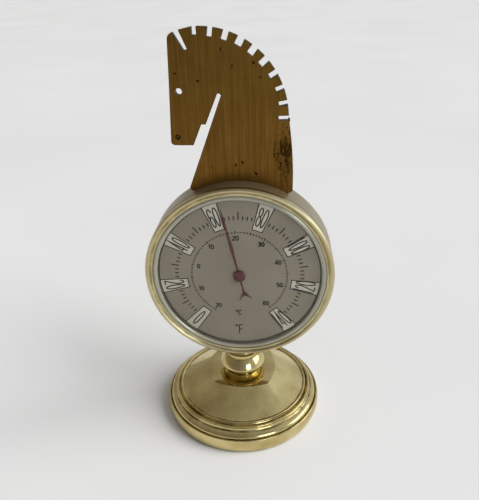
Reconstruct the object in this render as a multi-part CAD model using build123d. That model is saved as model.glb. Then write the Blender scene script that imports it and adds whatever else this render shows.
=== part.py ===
"""Table thermometer: bimetal dial in a brass drum on a turned foot, with a flat horse's head on top.

Millimetres, +Z up, the dial faces -Y. The origin is the centre of the foot's underside.
Case parts are drawn about the dial's own axis in CASE, where z runs forward out of the dial.
"""
from build123d import *
import os
from math import cos, radians, sin, sqrt

os.makedirs("parts", exist_ok=True)

# ---- driving dimensions -------------------------------------------------
RUN_GAP = 0.04          # radial clearance of the arbor in its bushes
SLIP_GAP = 0.1          # radial clearance of parts that are only assembled
PART_GAP = 0.35         # air between the pointer and the dial it sweeps over

# foot, from the table up
FOOT_R = 31.9
FOOT_WALL = 1.7
RIM_TOP = 6.0
BEAD_R = FOOT_R - 5.7
DOME_R, DOME_BASE = BEAD_R - 0.8, RIM_TOP + 4.4
DOME_HIGH = 6.6
PLATEAU = DOME_BASE + DOME_HIGH     # height of the four-sided top of the foot
PLATEAU_CORNER = 15.4               # centre to corner
PLATEAU_SIDE = 13.5                 # centre to the middle of a bowed side
SHELL_FLOOR = 0.4
CAVITY_R, CAVITY_TOP = FOOT_R - FOOT_WALL, RIM_TOP - 1.3
STEP_R, STEP_TOP = FOOT_R - 5.5, RIM_TOP + 2.0
DOME_CAVITY_R, DOME_CAVITY_TOP_R, DOME_CAVITY_TOP = DOME_R - 4.4, PLATEAU_SIDE - 2.5, PLATEAU - 2.4
FELT_TOP = 1.3

# stem
STUD_R = 2.0
NUT_R, NUT_HIGH = 4.04, 2.8
WASHER_R, WASHER_HIGH = 5.6, 0.8
KNOB_R, KNOB_HIGH = 9.2, 8.0
KNOB_FOOT_R = KNOB_R - 2.8
KNOB_MIDDLE, KNOB_TOP = PLATEAU + 3.9, PLATEAU + KNOB_HIGH
COLLAR_R, COLLAR_HIGH = 7.1, 4.85
COLLAR_WAIST_R, COLLAR_STEP = COLLAR_R - 1.0, KNOB_TOP + 2.4

# case: heights along the dial's axis run forward from the axis of the stem
DRUM_R, DRUM_WALL, DRUM_BACK = 34.95, 0.9, 1.0
DRUM_FRONT = 7.2
DIAL_Z = KNOB_TOP + COLLAR_HIGH + DRUM_R
DRUM_BORE = DRUM_R - DRUM_WALL
SPIGOT_WALL, SPIGOT_LONG = 0.8, 2.0
BEZEL_LIP = 0.9                     # how far the bezel reaches in over the crystal
BEZEL_FRONT = DRUM_FRONT + 2.2
SPIGOT_R = DRUM_BORE - 0.05
REBATE_R = SPIGOT_R - SPIGOT_WALL
CRYSTAL_R, CRYSTAL_THICK, CRYSTAL_RISE = REBATE_R - SLIP_GAP, 0.9, 1.5
BEZEL_OPENING_R = CRYSTAL_R - BEZEL_LIP
SEAT_WIDE = 1.0                     # width of the ring between dial and crystal
DIAL_THICK = 0.5
DIAL_R, DIAL_FACE = CRYSTAL_R - SLIP_GAP, DRUM_FRONT - 0.15
DIAL_REAR = DIAL_FACE - DIAL_THICK

# pointer
POINTER_ANGLE = -13.0   # degrees clockwise from the top, two degrees of arc to the degree Fahrenheit
POINTER_REAR, POINTER_THICK = DIAL_FACE + PART_GAP, 0.25
POINTER_REACH, TAIL_REACH = BEZEL_OPENING_R - 4.5, 10.2
HUB_R, HUB_FRONT = 2.2, POINTER_REAR + 1.1
CRYSTAL_REAR = POINTER_REAR + POINTER_THICK

# movement
COIL_TURNS, COIL_PITCH, COIL_STRIP, COIL_WIDE = 6.75, 1.4, 0.3, 3.4
COIL_FRONT = DIAL_REAR - 2.55
COIL_REAR = COIL_FRONT - COIL_WIDE
COLLET_R, COLLET_REAR, COLLET_FRONT = 1.9, COIL_REAR - 1.5, COIL_FRONT + 1.4
COIL_END_R = COLLET_R + COIL_STRIP / 2 + COIL_PITCH * COIL_TURNS
ANCHOR_R = 1.4
BRIDGE_THICK, BRIDGE_WIDE = 1.2, 8.0
BRIDGE_FACE = COLLET_REAR - 0.9
BRIDGE_REAR = BRIDGE_FACE - BRIDGE_THICK
POST_R = 1.6
POST_X = COIL_END_R + ANCHOR_R + POST_R + 3.0
BUSH_R, BUSH_FLANGE_R, BUSH_FLANGE = 1.6, 2.2, 0.6
ARBOR_R, ARBOR_REAR, ARBOR_FRONT = 0.6, BRIDGE_REAR - 0.6, POINTER_REAR + 0.85
BACK_SPACE = 2.4        # air between the bridge and the drum's back
DRUM_REAR = BRIDGE_REAR - BACK_SPACE - DRUM_BACK
PILLAR_R, PILLAR_CIRCLE = 1.8, DRUM_BORE - 8.05
PILLAR_ANGLES = (30, 150, 270)
SCREW_R, SCREW_HEAD_R, SCREW_HEAD, SCREW_DEEP = 1.0, 1.9, 0.8, 4.0
POST_SCREW_R, POST_SCREW_HEAD_R, POST_SCREW_HEAD = 0.8, 1.5, 0.7

# horse's head: heights are above the top of the drum
PLATE_THICK = 2.4
MANE_X, MANE_HIGH, MANE_R = -12.0, 21.25, 29.2
MANE_FIRST, MANE_PITCH = 92.2, 10.1
MANE_CUTS = (
    (1.5, 2.5), (1.7, 2.9), (1.9, 2.9), (2.3, 2.7), (2.2, 2.8),
    (2.1, 2.9), (1.8, 2.7), (1.6, 2.7), (1.6, 2.9), (1.6, 3.4),
)                       # width and depth of each saw cut, from the ear down
EYE_X, EYE_HIGH, EYE_R = -19.1, 30.65, 1.15
NOSTRIL_X, NOSTRIL_HIGH, NOSTRIL_R, NOSTRIL_DEEP = -20.4, 15.55, 0.8, 0.45
SEAT_LEFT, SEAT_RIGHT = -15.7, 17.2     # ends of the plate's foot on the drum
PIN_R, PIN_X, PIN_DEEP = 0.7, (-8.0, 9.0), 4.0

CASE = Plane(origin=(0, 0, DIAL_Z), x_dir=(1, 0, 0), z_dir=(0, -1, 0))
HEAD = Plane(origin=(0, 0, DIAL_Z + DRUM_R), x_dir=(1, 0, 0), z_dir=(0, -1, 0))


# ---- helpers ------------------------------------------------------------
def outline(start, *steps):
    """A closed face from points; a step of two points is an arc through the first to the second."""
    edges = []
    here = start
    for step in steps:
        if isinstance(step[0], tuple):
            edges.append(ThreePointArc(here, step[0], step[1]))
            here = step[1]
        else:
            edges.append(Line(here, step))
            here = step
    if here != start:
        edges.append(Line(here, start))
    return make_face(Curve() + edges)


def turned(face):
    """Revolve a face drawn as radius and height about the Z axis."""
    return revolve(Plane.XZ * face, Axis.Z)


def ring(outer, inner, low, high):
    """A plain tube, or a disc where inner is nothing."""
    body = Pos(0, 0, low) * Cylinder(outer, high - low, align=(Align.CENTER, Align.CENTER, Align.MIN))
    if inner:
        body -= Pos(0, 0, low - 1) * Cylinder(inner, high - low + 2, align=(Align.CENTER, Align.CENTER, Align.MIN))
    return body


def polar(radius, angle):
    return (radius * cos(radians(angle)), radius * sin(radians(angle)))


def crown(radius, low, rise):
    """The point half way out on a spherical cap that stands rise above low on the Z axis."""
    sphere = (radius ** 2 + rise ** 2) / (2 * rise)
    return (radius / 2, low + rise - sphere + sqrt(sphere ** 2 - radius ** 2 / 4))


def prism(face, low, high):
    return extrude(Pos(0, 0, low) * face, high - low)


def save(name, shape, place=None):
    shape = place.location * shape if place else shape
    shape.label = name
    export_step(shape, f"parts/{name}.step")


def across(radius, low, high):
    """A cylinder along world Y about the dial's axis, from low to high in CASE."""
    return CASE.location * ring(radius, 0, low, high)


# ---- foot ---------------------------------------------------------------
moulding = outline(
    (0, SHELL_FLOOR),
    (FOOT_R - 0.5, SHELL_FLOOR),
    ((FOOT_R + 0.15, 3.0), (FOOT_R - 0.25, RIM_TOP - 0.35)),
    ((FOOT_R - 0.4, RIM_TOP), (FOOT_R - 0.85, RIM_TOP - 0.1)),
    (FOOT_R - 1.15, RIM_TOP - 0.45),
    ((FOOT_R - 2.0, RIM_TOP + 1.35), (FOOT_R - 3.25, RIM_TOP + 1.9)),
    ((FOOT_R - 3.65, RIM_TOP + 2.4), (FOOT_R - 3.7, RIM_TOP + 3.4)),
    ((BEAD_R + 1.55, RIM_TOP + 3.85), (BEAD_R + 1.05, RIM_TOP + 3.6)),
    (BEAD_R + 0.75, RIM_TOP + 3.15),
    (BEAD_R + 0.25, RIM_TOP + 3.9),
    ((BEAD_R - 0.1, DOME_BASE + 0.12), (BEAD_R - 0.5, DOME_BASE)),
    (DOME_R, DOME_BASE - 0.25),
    (0, DOME_BASE - 0.25),
)
corners = [polar(PLATEAU_CORNER, 45 + 90 * i) for i in range(4)]
middles = [polar(PLATEAU_SIDE, 90 + 90 * i) for i in range(4)]
plateau = make_face(Curve() + [ThreePointArc(corners[i], middles[i], corners[(i + 1) % 4]) for i in range(4)])
rounds = [polar(DOME_R, 45 + 90 * i) for i in range(4)]
bulges = [polar(DOME_R, 90 + 90 * i) for i in range(4)]
dome_ring = make_face(Curve() + [ThreePointArc(rounds[i], bulges[i], rounds[(i + 1) % 4]) for i in range(4)])
dome = loft([Pos(0, 0, DOME_BASE - 0.25) * dome_ring, Pos(0, 0, PLATEAU) * plateau], ruled=True)
dome_cavity = outline(
    (0, SHELL_FLOOR),
    (DOME_CAVITY_R, SHELL_FLOOR),
    (DOME_CAVITY_R, STEP_TOP),
    (DOME_CAVITY_TOP_R, DOME_CAVITY_TOP),
    (0, DOME_CAVITY_TOP),
)
shell = turned(moulding) + dome - turned(dome_cavity)
shell -= ring(CAVITY_R, 0, -1, CAVITY_TOP) + ring(STEP_R, 0, -1, STEP_TOP)
shell -= ring(STUD_R + SLIP_GAP, 0, 0, PLATEAU + 1)
save("base_shell", shell)

NUT_SEAT = FELT_TOP + NUT_HIGH + 1.0
POCKET_TOP = NUT_SEAT + WASHER_HIGH
weight = ring(CAVITY_R - SLIP_GAP, 0, FELT_TOP, CAVITY_TOP - SLIP_GAP)
weight += ring(STEP_R - SLIP_GAP, 0, CAVITY_TOP - SLIP_GAP, STEP_TOP)
weight -= ring(WASHER_R + 1.0, 0, 0, POCKET_TOP) + ring(STUD_R + SLIP_GAP, 0, 0, STEP_TOP + 1)
save("base_weight", weight)
save("felt_pad", ring(CAVITY_R - SLIP_GAP, 0, 0, FELT_TOP))
save("base_washer", ring(WASHER_R, STUD_R + SLIP_GAP, NUT_SEAT, POCKET_TOP))

# ---- stem ---------------------------------------------------------------
CASE_FLOOR = DIAL_Z - DRUM_R + DRUM_WALL
SADDLE_TOP = CASE_FLOOR + 1.8
STUD_LOW = FELT_TOP + 0.5
STUD_HIGH = SADDLE_TOP + NUT_HIGH + 0.8
stud = ring(STUD_R, 0, STUD_LOW, STUD_HIGH)
save("stem_stud", chamfer(stud.edges().filter_by(GeomType.CIRCLE), 0.4))


def nut(low):
    hexagon = prism(RegularPolygon(NUT_R, 6), low, low + NUT_HIGH)
    cone = turned(outline(
        (0, low),
        (NUT_R - 0.5, low),
        (NUT_R + 0.1, low + 0.35),
        (NUT_R + 0.1, low + NUT_HIGH - 0.35),
        (NUT_R - 0.5, low + NUT_HIGH),
        (0, low + NUT_HIGH),
    ))
    return (hexagon & cone) - ring(STUD_R, 0, low - 1, low + NUT_HIGH + 1)


save("stud_nuts", Compound(children=[nut(NUT_SEAT - NUT_HIGH), nut(SADDLE_TOP)]))

knob = turned(outline(
    (STUD_R + SLIP_GAP, PLATEAU),
    (KNOB_FOOT_R, PLATEAU),
    (KNOB_FOOT_R, PLATEAU + 1.2),
    (KNOB_R - 0.45, KNOB_MIDDLE - 0.55),
    ((KNOB_R - 0.05, KNOB_MIDDLE - 0.35), (KNOB_R, KNOB_MIDDLE)),
    ((KNOB_R - 0.95, KNOB_MIDDLE + 2.1), (COLLAR_R - 0.15, KNOB_TOP)),
    (STUD_R + SLIP_GAP, KNOB_TOP),
))
save("stem_knob", knob)

collar = turned(outline(
    (STUD_R + SLIP_GAP, KNOB_TOP),
    (COLLAR_R - 0.3, KNOB_TOP),
    ((COLLAR_R - 0.09, KNOB_TOP + 0.09), (COLLAR_R, KNOB_TOP + 0.3)),
    (COLLAR_R, COLLAR_STEP - 0.6),
    ((COLLAR_R - 0.8, COLLAR_STEP), (COLLAR_WAIST_R, COLLAR_STEP + 1.1)),
    (COLLAR_WAIST_R, CASE_FLOOR),
    (STUD_R + SLIP_GAP, CASE_FLOOR),
))
save("neck_collar", collar - across(DRUM_R, -20, 20))

saddle = ring(NUT_R + 0.55, STUD_R + SLIP_GAP, CASE_FLOOR - 2, SADDLE_TOP)
save("case_saddle", saddle & across(DRUM_R - DRUM_WALL, -20, 20))

# ---- case ---------------------------------------------------------------
drum = turned(outline(
    (0, DRUM_REAR),
    (DRUM_R - 1.1, DRUM_REAR),
    ((DRUM_R - 0.32, DRUM_REAR + 0.32), (DRUM_R, DRUM_REAR + 1.1)),
    (DRUM_R, DRUM_FRONT),
    (DRUM_BORE, DRUM_FRONT),
    (DRUM_BORE, DRUM_REAR + DRUM_BACK + 0.4),
    ((DRUM_BORE - 0.12, DRUM_REAR + DRUM_BACK + 0.12), (DRUM_BORE - 0.4, DRUM_REAR + DRUM_BACK)),
    (0, DRUM_REAR + DRUM_BACK),
))
for angle in PILLAR_ANGLES:
    drum -= Pos(*polar(PILLAR_CIRCLE, angle), 0) * ring(SCREW_R + SLIP_GAP, 0, DRUM_REAR - 1, DRUM_REAR + 2)
drum -= ring(3.0, 0, DRUM_REAR - 1, DRUM_REAR + 2)
drum = CASE.location * drum
drum -= ring(STUD_R + SLIP_GAP, 0, 20, DIAL_Z - 20)
for x in PIN_X:
    drum -= Pos(x, 0, 0) * ring(PIN_R, 0, DIAL_Z + 20, DIAL_Z + DRUM_R + 5)
save("case_drum", drum)

SPIGOT_END = DRUM_FRONT - SPIGOT_LONG
bezel = turned(outline(
    (SPIGOT_R, SPIGOT_END),
    (SPIGOT_R, DRUM_FRONT),
    (DRUM_R, DRUM_FRONT),
    (DRUM_R, BEZEL_FRONT - 0.85),
    ((DRUM_R - 0.85, BEZEL_FRONT), (DRUM_R - 1.45, BEZEL_FRONT - 0.25)),
    (BEZEL_OPENING_R + 0.95, CRYSTAL_REAR + CRYSTAL_THICK + 0.3),
    (BEZEL_OPENING_R + 0.1, CRYSTAL_REAR + CRYSTAL_THICK + 0.3),
    (BEZEL_OPENING_R, CRYSTAL_REAR + CRYSTAL_THICK + 0.2),
    (BEZEL_OPENING_R, CRYSTAL_REAR + CRYSTAL_THICK),
    (REBATE_R, CRYSTAL_REAR + CRYSTAL_THICK),
    (REBATE_R, SPIGOT_END),
))
save("bezel", bezel, CASE)

CRYSTAL_FACE = CRYSTAL_REAR + CRYSTAL_THICK
DOME_EDGE = BEZEL_OPENING_R - 0.35
crystal = turned(outline(
    (0, CRYSTAL_REAR + CRYSTAL_RISE),
    (crown(DOME_EDGE, CRYSTAL_REAR, CRYSTAL_RISE), (DOME_EDGE, CRYSTAL_REAR)),
    (CRYSTAL_R, CRYSTAL_REAR),
    (CRYSTAL_R, CRYSTAL_FACE),
    (DOME_EDGE, CRYSTAL_FACE),
    (crown(DOME_EDGE, CRYSTAL_FACE, CRYSTAL_RISE), (0, CRYSTAL_FACE + CRYSTAL_RISE)),
))
save("crystal", crystal, CASE)
save("seat_ring", ring(CRYSTAL_R, CRYSTAL_R - SEAT_WIDE, DIAL_FACE, CRYSTAL_REAR), CASE)

# ---- dial and movement --------------------------------------------------
save("dial_plate", ring(DIAL_R, BUSH_R, DIAL_REAR, DIAL_FACE), CASE)

pillars = []
back_screws = []
for angle in PILLAR_ANGLES:
    spot = Pos(*polar(PILLAR_CIRCLE, angle), 0)
    pillar = ring(PILLAR_R, 0, DRUM_REAR + DRUM_BACK, DIAL_REAR)
    pillars.append(spot * (pillar - ring(SCREW_R, 0, DRUM_REAR, DRUM_REAR + DRUM_BACK + SCREW_DEEP)))
    screw = ring(SCREW_R, 0, DRUM_REAR, DRUM_REAR + DRUM_BACK + SCREW_DEEP - 0.5)
    screw += ring(SCREW_HEAD_R, 0, DRUM_REAR - SCREW_HEAD, DRUM_REAR)
    slot = Pos(0, 0, DRUM_REAR - SCREW_HEAD) * Rot(0, 0, angle) * Box(5, 0.5, 0.8)
    back_screws.append(spot * (screw - slot))
save("dial_pillars", Compound(children=pillars), CASE)
save("back_screws", Compound(children=back_screws), CASE)

strap = SlotOverall(2 * POST_X + BRIDGE_WIDE, BRIDGE_WIDE)
bridge = prism(strap, BRIDGE_REAR, BRIDGE_FACE) - ring(BUSH_R, 0, BRIDGE_REAR - 1, BRIDGE_FACE + 1)
posts = []
bridge_screws = []
for side in (-1, 1):
    spot = Pos(side * POST_X, 0, 0)
    bridge -= spot * ring(POST_SCREW_R + SLIP_GAP, 0, BRIDGE_REAR - 1, BRIDGE_FACE + 1)
    post = ring(POST_R, 0, BRIDGE_FACE, DIAL_REAR)
    posts.append(spot * (post - ring(POST_SCREW_R, 0, BRIDGE_FACE - 1, BRIDGE_FACE + 3)))
    screw = ring(POST_SCREW_R, 0, BRIDGE_REAR, BRIDGE_FACE + 2.5)
    screw += ring(POST_SCREW_HEAD_R, 0, BRIDGE_REAR - POST_SCREW_HEAD, BRIDGE_REAR)
    slot = Pos(0, 0, BRIDGE_REAR - POST_SCREW_HEAD) * Rot(0, 0, 40 * side) * Box(4, 0.4, 0.6)
    bridge_screws.append(spot * (screw - slot))

PIVOT_R = ARBOR_R + RUN_GAP
front_bush = ring(BUSH_R, PIVOT_R, DIAL_REAR, DIAL_FACE)
front_bush += ring(BUSH_FLANGE_R, PIVOT_R, DIAL_REAR - BUSH_FLANGE, DIAL_REAR)
save("front_bush", front_bush, CASE)
rear_bush = ring(BUSH_R, PIVOT_R, BRIDGE_REAR, BRIDGE_FACE)
rear_bush += ring(BUSH_FLANGE_R, PIVOT_R, BRIDGE_FACE, BRIDGE_FACE + BUSH_FLANGE)
save("rear_bush", rear_bush, CASE)

arbor = chamfer(ring(ARBOR_R, 0, ARBOR_REAR, ARBOR_FRONT).edges().filter_by(GeomType.CIRCLE), 0.1)
save("arbor", arbor, CASE)


COIL_START = -360 * COIL_TURNS      # the coil always ends over the bridge's right arm


def spiral(offset, count):
    """Points along the coil, offset from the middle of its strip."""
    points = []
    for i in range(count + 1):
        turn = COIL_TURNS * i / count
        radius = COLLET_R + COIL_STRIP / 2 + COIL_PITCH * turn + offset
        points.append(polar(radius, COIL_START + 360 * turn))
    return points


half = COIL_STRIP / 2
inner = Spline(*spiral(-half, 96))
outer = Spline(*spiral(half, 96))
caps = [Line(inner @ 0, outer @ 0), Line(inner @ 1, outer @ 1)]
strip = prism(make_face(Curve() + [inner, outer, *caps]), COIL_REAR, COIL_FRONT)
tang = Pos(COLLET_R - 0.3, 0, (COIL_REAR + COIL_FRONT) / 2) * Box(0.9, COIL_STRIP, COIL_WIDE)
coil = strip + Rot(0, 0, COIL_START) * tang
save("bimetal_coil", coil, CASE)
save("coil_collet", ring(COLLET_R, ARBOR_R, COLLET_REAR, COLLET_FRONT) - coil, CASE)

anchor = Pos(COIL_END_R, 0, 0) * ring(ANCHOR_R, 0, BRIDGE_FACE, COIL_FRONT + 0.6)
save("coil_anchor", anchor - coil, CASE)
save("movement_bridge", bridge, CASE)
save("bridge_posts", Compound(children=posts), CASE)
save("bridge_screws", Compound(children=bridge_screws), CASE)

# ---- pointer ------------------------------------------------------------
side = [
    (HUB_R - 1.2, 1.0),
    (0.24, HUB_R),
    (0.55, POINTER_REACH * 0.4),
    (0.3, POINTER_REACH * 0.68),
    (0.36, POINTER_REACH * 0.84),
    (0, POINTER_REACH),
]
blade = outline(*side, *[(-x, y) for x, y in reversed(side[:-1])])
tail = outline(
    (0.28, -1.0),
    (0.28, 5.0 - TAIL_REACH),
    ((0.85, 2.2 - TAIL_REACH), (2.4, 0.25 - TAIL_REACH)),
    (2.15, -TAIL_REACH),
    ((1.0, 1.1 - TAIL_REACH), (0, 1.7 - TAIL_REACH)),
    ((-1.0, 1.1 - TAIL_REACH), (-2.15, -TAIL_REACH)),
    (-2.4, 0.25 - TAIL_REACH),
    ((-0.85, 2.2 - TAIL_REACH), (-0.28, 5.0 - TAIL_REACH)),
    (-0.28, -1.0),
)
needle = blade + tail + Circle(HUB_R - 0.5) - Circle(1.0)
needle = Rot(0, 0, -POINTER_ANGLE) * prism(needle, POINTER_REAR, POINTER_REAR + POINTER_THICK)
save("pointer", needle, CASE)
hub = turned(outline(
    (0, ARBOR_FRONT),
    (ARBOR_R, ARBOR_FRONT),
    (ARBOR_R, POINTER_REAR - 0.1),
    (1.0, POINTER_REAR - 0.1),
    (1.0, POINTER_REAR + POINTER_THICK),
    (HUB_R, POINTER_REAR + POINTER_THICK),
    ((HUB_R - 0.12, HUB_FRONT - 0.2), (HUB_R - 0.5, HUB_FRONT - 0.1)),
    (1.0, HUB_FRONT - 0.1),
    (crown(1.0, HUB_FRONT - 0.1, 0.3), (0, HUB_FRONT + 0.2)),
))
save("pointer_hub", hub, CASE)

# ---- horse's head -------------------------------------------------------
seat_left = sqrt(DRUM_R ** 2 - SEAT_LEFT ** 2) - DRUM_R
seat_right = sqrt(DRUM_R ** 2 - SEAT_RIGHT ** 2) - DRUM_R
crest = MANE_R * sqrt(0.5)
profile = outline(
    (-20.0, 48.85),
    ((-21.3, 47.95), (-21.7, 46.45)),
    (-22.1, 32.85),
    (-22.8, 14.35),
    ((-22.45, 13.2), (-21.35, 12.75)),
    (-15.2, 12.75),
    (-12.2, 19.85),
    (-10.7, 19.85),
    (-6.7, 29.35),
    ((-5.85, 30.0), (-5.25, 29.25)),
    (SEAT_LEFT - 1.5, seat_left + 1.4),
    ((SEAT_LEFT - 1.4, seat_left + 0.5), (SEAT_LEFT - 0.9, seat_left)),
    (SEAT_LEFT, seat_left),
    ((0, 0), (SEAT_RIGHT, seat_right)),
    (SEAT_RIGHT + 1.0, seat_right + 0.2),
    (SEAT_RIGHT + 1.8, seat_right + 1.0),
    ((SEAT_RIGHT + 1.35, 10.75), (MANE_X + MANE_R, MANE_HIGH + 0.2)),
    ((MANE_X + crest, MANE_HIGH + crest), (MANE_X - 0.6, MANE_HIGH + MANE_R)),
    (-18.0, 49.5),
    (-15.4, 43.65),
    (-16.7, 43.4),
)
plate = prism(profile, -PLATE_THICK / 2, PLATE_THICK / 2)
for i, (width, depth) in enumerate(MANE_CUTS):
    angle = MANE_FIRST - MANE_PITCH * i
    cut = Pos(MANE_R - depth / 2 + 1.5, 0) * Rectangle(depth + 3.0, width)
    plate -= Pos(MANE_X, MANE_HIGH) * Rot(0, 0, angle) * prism(cut, -PLATE_THICK, PLATE_THICK)
plate -= Pos(EYE_X, EYE_HIGH) * ring(EYE_R, 0, -PLATE_THICK, PLATE_THICK)
dimple = turned(outline(
    (0, -NOSTRIL_DEEP),
    ((NOSTRIL_R * 0.72, -NOSTRIL_DEEP * 0.6), (NOSTRIL_R, 0.1)),
    (0, 0.1),
))
plate -= Pos(NOSTRIL_X, NOSTRIL_HIGH, PLATE_THICK / 2) * dimple
plate = HEAD.location * plate
pins = []
for x in PIN_X:
    root = DIAL_Z + sqrt(DRUM_BORE ** 2 - x ** 2)
    tip = DIAL_Z + DRUM_R + PIN_DEEP - 1.0
    plate -= Pos(x, 0, 0) * ring(PIN_R, 0, DIAL_Z + 20, tip)
    head = Pos(x, 0, 0) * ring(PIN_R * 1.9, 0, root - 1.3, root + 2)
    pins.append(Pos(x, 0, 0) * ring(PIN_R, 0, root - 0.9, tip) + (head & across(DRUM_BORE, -20, 20)))
save("horse_plate", plate)
save("plate_pins", Compound(children=pins))
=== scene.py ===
"""Looks of a table thermometer: brass foot and stem, round dial case, printed dial and a flat horse's head.

Sizes in the profiles below are millimetres and are scaled to metres when a piece is placed.
The foot, stem and plate stand in the world's own frame.
The case is drawn about the dial's axis: x to the right, y up, z forward out of the dial.
"""
from math import asin, atan2, cos, pi, radians, sin, sqrt

import bmesh
import bpy
from bpy.props import FloatProperty, FloatVectorProperty, IntProperty, PointerProperty
from bpy.types import Operator, Panel, PropertyGroup
from mathutils import Matrix, Vector


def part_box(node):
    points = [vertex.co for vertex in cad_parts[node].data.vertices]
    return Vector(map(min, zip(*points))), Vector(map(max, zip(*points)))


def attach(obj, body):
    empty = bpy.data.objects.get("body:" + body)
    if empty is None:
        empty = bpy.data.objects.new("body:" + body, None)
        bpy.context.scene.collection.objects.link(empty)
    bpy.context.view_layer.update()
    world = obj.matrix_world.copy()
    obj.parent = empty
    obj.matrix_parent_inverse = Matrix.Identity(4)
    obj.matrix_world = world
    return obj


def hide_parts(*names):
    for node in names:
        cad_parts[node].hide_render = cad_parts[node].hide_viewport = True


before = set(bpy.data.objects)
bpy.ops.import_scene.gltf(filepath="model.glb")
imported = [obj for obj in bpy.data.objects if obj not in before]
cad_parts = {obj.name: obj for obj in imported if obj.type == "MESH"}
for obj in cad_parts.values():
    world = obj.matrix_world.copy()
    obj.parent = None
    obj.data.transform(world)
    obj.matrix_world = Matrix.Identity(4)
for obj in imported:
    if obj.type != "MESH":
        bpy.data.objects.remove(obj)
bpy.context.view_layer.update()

bl_info = {
    "name": "Table Thermometer",
    "version": (1, 0, 0),
    "blender": (4, 5, 0),
    "location": "View3D > Sidebar > Thermometer",
    "description": "Builds the visible pieces of a brass table thermometer around its mechanical model",
    "category": "Object",
}

MM = 0.001
STAND = "stand"
POINTER = "pointer_arbor"


def span(node):
    """A node's lowest and highest corners in millimetres."""
    low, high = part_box(node)
    return low / MM, high / MM


# ---- places taken from the mechanical model, in millimetres -----------------
SHELL_HIGH = span("base_shell")[1]
KNOB_LOW, KNOB_HIGH = span("stem_knob")
COLLAR_LOW, COLLAR_HIGH = span("neck_collar")
DRUM_LOW, DRUM_HIGH = span("case_drum")
BEZEL_LOW, BEZEL_HIGH = span("bezel")
CRYSTAL_LOW, CRYSTAL_HIGH = span("crystal")
DIAL_LOW = span("dial_plate")[0]
HUB_LOW, HUB_HIGH = span("pointer_hub")
PLATE_LOW, PLATE_HIGH = span("horse_plate")

FOOT_R = SHELL_HIGH.x - 0.15
RIM_HIGH = 6.0          # top of the foot's rolled rim
BEAD_R = FOOT_R - 5.7   # the bead round the bottom of the dome
PLATEAU = SHELL_HIGH.z  # the flat four-sided top
STUD_R = 2.1            # the hole for the threaded rod
KNOB_R = (KNOB_HIGH.x - KNOB_LOW.x) / 2
COLLAR_R = (COLLAR_HIGH.x - COLLAR_LOW.x) / 2
DRUM_R = (DRUM_HIGH.x - DRUM_LOW.x) / 2
DIAL_Z = (DRUM_LOW.z + DRUM_HIGH.z) / 2
DRUM_TOP = DRUM_HIGH.z
DRUM_FRONT, DRUM_REAR = -DRUM_LOW.y, -DRUM_HIGH.y
BEZEL_FRONT, BEZEL_REAR = -BEZEL_LOW.y, -BEZEL_HIGH.y
CRYSTAL_R = (CRYSTAL_HIGH.x - CRYSTAL_LOW.x) / 2
CRYSTAL_REAR, CRYSTAL_TOP = -CRYSTAL_HIGH.y, -CRYSTAL_LOW.y
CRYSTAL_THICK = 0.9
DIAL_FACE = -DIAL_LOW.y
CASE = Matrix.Translation((0, 0, DIAL_Z * MM)) @ Matrix.Rotation(pi / 2, 4, "X") @ Matrix.Scale(MM, 4)
UPRIGHT = Matrix.Scale(MM, 4)


# ---- what a user may change --------------------------------------------------
def length(name, description, default, precision=5):
    """A length setting; its default is given in millimetres."""
    return FloatProperty(name=name, description=description, default=default * MM, unit="LENGTH",
                         precision=precision)


def colour(name, description, default):
    return FloatVectorProperty(name=name, description=description, default=default, subtype="COLOR")


class ThermometerSizes(PropertyGroup):
    """Sizes of the details that only the looks need."""
    edge: length("Edge", "Softening of turned corners", 0.1)
    plate_edge: length("Plate Edge", "Softening of the sawn plate's edges", 0.1)
    ink: length("Ink", "Height of the dial's print", 0.02, 6)
    line: length("Line", "Width of the dial's printed lines", 0.34)
    steps: IntProperty(name="Steps", description="Steps round a turned piece", default=192, min=24)


class ThermometerFinish(PropertyGroup):
    """Colours of the finishes."""
    brass: colour("Brass", "Polished brass of the foot and stem", (0.70, 0.58, 0.275))
    case: colour("Case", "Pale satin brass of the case", (0.29, 0.23, 0.13))
    bezel: colour("Bezel", "Pale gold of the bezel", (0.58, 0.50, 0.29))
    plate: colour("Plate", "Aged brass of the horse's head", (0.215, 0.120, 0.024))
    dial: colour("Dial", "Champagne grey of the dial", (0.36, 0.315, 0.24))
    window: colour("Window", "Pale ground behind the large figures", (0.72, 0.67, 0.54))
    pointer: colour("Pointer", "Deep red of the pointer", (0.085, 0.009, 0.009))


def sizes():
    return bpy.context.scene.thermometer_sizes


def finish(name):
    """One of the user's colours."""
    return tuple(getattr(bpy.context.scene.thermometer_finish, name))


# ---- outlines ------------------------------------------------------------------
def arc(start, middle, end, count):
    """Points along the arc from start through middle to end, without start."""
    (ax, ay), (bx, by), (cx, cy) = start, middle, end
    d = 2 * (ax * (by - cy) + bx * (cy - ay) + cx * (ay - by))
    sa, sb, sc = ax * ax + ay * ay, bx * bx + by * by, cx * cx + cy * cy
    ox = (sa * (by - cy) + sb * (cy - ay) + sc * (ay - by)) / d
    oy = (sa * (cx - bx) + sb * (ax - cx) + sc * (bx - ax)) / d
    radius = sqrt((ax - ox) ** 2 + (ay - oy) ** 2)
    first = atan2(ay - oy, ax - ox)
    through = (atan2(by - oy, bx - ox) - first) % (2 * pi)
    sweep = (atan2(cy - oy, cx - ox) - first) % (2 * pi)
    if through > sweep:
        sweep -= 2 * pi
    turns = [first + sweep * (i + 1) / count for i in range(count)]
    return [(ox + radius * cos(t), oy + radius * sin(t)) for t in turns]


def outline(start, *steps, count=8):
    """Points from start; a step of two points is an arc through the first to the second."""
    points = [start]
    for step in steps:
        if isinstance(step[0], tuple):
            points += arc(points[-1], step[0], step[1], count)
        else:
            points.append(step)
    return points


def rows(start, end, count):
    """Points evenly along a straight run, without its ends."""
    return [tuple(a + (b - a) * i / count for a, b in zip(start, end)) for i in range(1, count)]


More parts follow.
